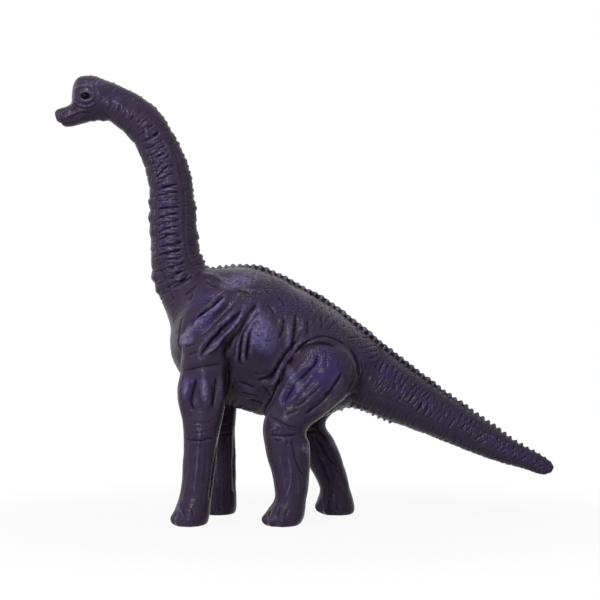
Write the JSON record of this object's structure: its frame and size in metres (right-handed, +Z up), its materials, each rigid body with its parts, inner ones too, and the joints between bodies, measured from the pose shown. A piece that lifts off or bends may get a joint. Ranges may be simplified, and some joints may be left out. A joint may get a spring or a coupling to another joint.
{
  "type": "toy sauropod dinosaur figure",
  "caption": "Hollow soft-vinyl long-necked dinosaur figure in mid stride, with swivel neck and tail, swinging legs and press-in eyes.",
  "frame": {"origin": "middle of the figure's bounding box, on the plane that the soles stand on", "axes": "the figure faces -X, its left side is -Y, +Z is up"},
  "size_m": [0.2971, 0.0854, 0.2649],
  "materials": {
    "purple_vinyl": "satin soft vinyl, dark grey-purple with blue-violet airbrushing",
    "black_gloss": "glossy black",
    "natural_plastic": "unpainted off-white plastic"
  },
  "bodies": {
    "torso": {"torso_shell": "purple_vinyl"},
    "neck": {"neck_and_head": "purple_vinyl", "left_eye": "black_gloss", "right_eye": "black_gloss", "neck_plug": "natural_plastic"},
    "tail": {"tail": "purple_vinyl", "tail_plug": "natural_plastic"},
    "left_foreleg": {"left_foreleg": "purple_vinyl", "left_shoulder_plug": "natural_plastic"},
    "left_hind_leg": {"left_hind_leg": "purple_vinyl", "left_hip_plug": "natural_plastic"},
    "right_foreleg": {"right_foreleg": "purple_vinyl", "right_shoulder_plug": "natural_plastic"},
    "right_hind_leg": {"right_hind_leg": "purple_vinyl", "right_hip_plug": "natural_plastic"}
  },
  "joints": [
    {"name": "neck_swivel", "type": "hinge", "parent": "torso", "child": "neck", "pos_m": [-0.0723, 0, 0.14032], "axis": [-0.6213, 0, 0.7835], "range_deg": [-30, 30]},
    {"name": "tail_swivel", "type": "hinge", "parent": "torso", "child": "tail", "pos_m": [0.03735, 0, 0.08546], "axis": [0.8627, 0, -0.5057], "range_deg": [-30, 30]},
    {"name": "left_shoulder", "type": "hinge", "parent": "torso", "child": "left_foreleg", "pos_m": [-0.0594, -0.021, 0.106], "axis": [0, 1, 0], "range_deg": [-15, 15]},
    {"name": "left_hip", "type": "hinge", "parent": "torso", "child": "left_hind_leg", "pos_m": [0.00981, -0.024, 0.0844], "axis": [0, 1, 0], "range_deg": [-15, 15]},
    {"name": "right_shoulder", "type": "hinge", "parent": "torso", "child": "right_foreleg", "pos_m": [-0.0594, 0.021, 0.106], "axis": [0, 1, 0], "range_deg": [-15, 15]},
    {"name": "right_hip", "type": "hinge", "parent": "torso", "child": "right_hind_leg", "pos_m": [0.00981, 0.024, 0.0844], "axis": [0, 1, 0], "range_deg": [-15, 15]}
  ]
}
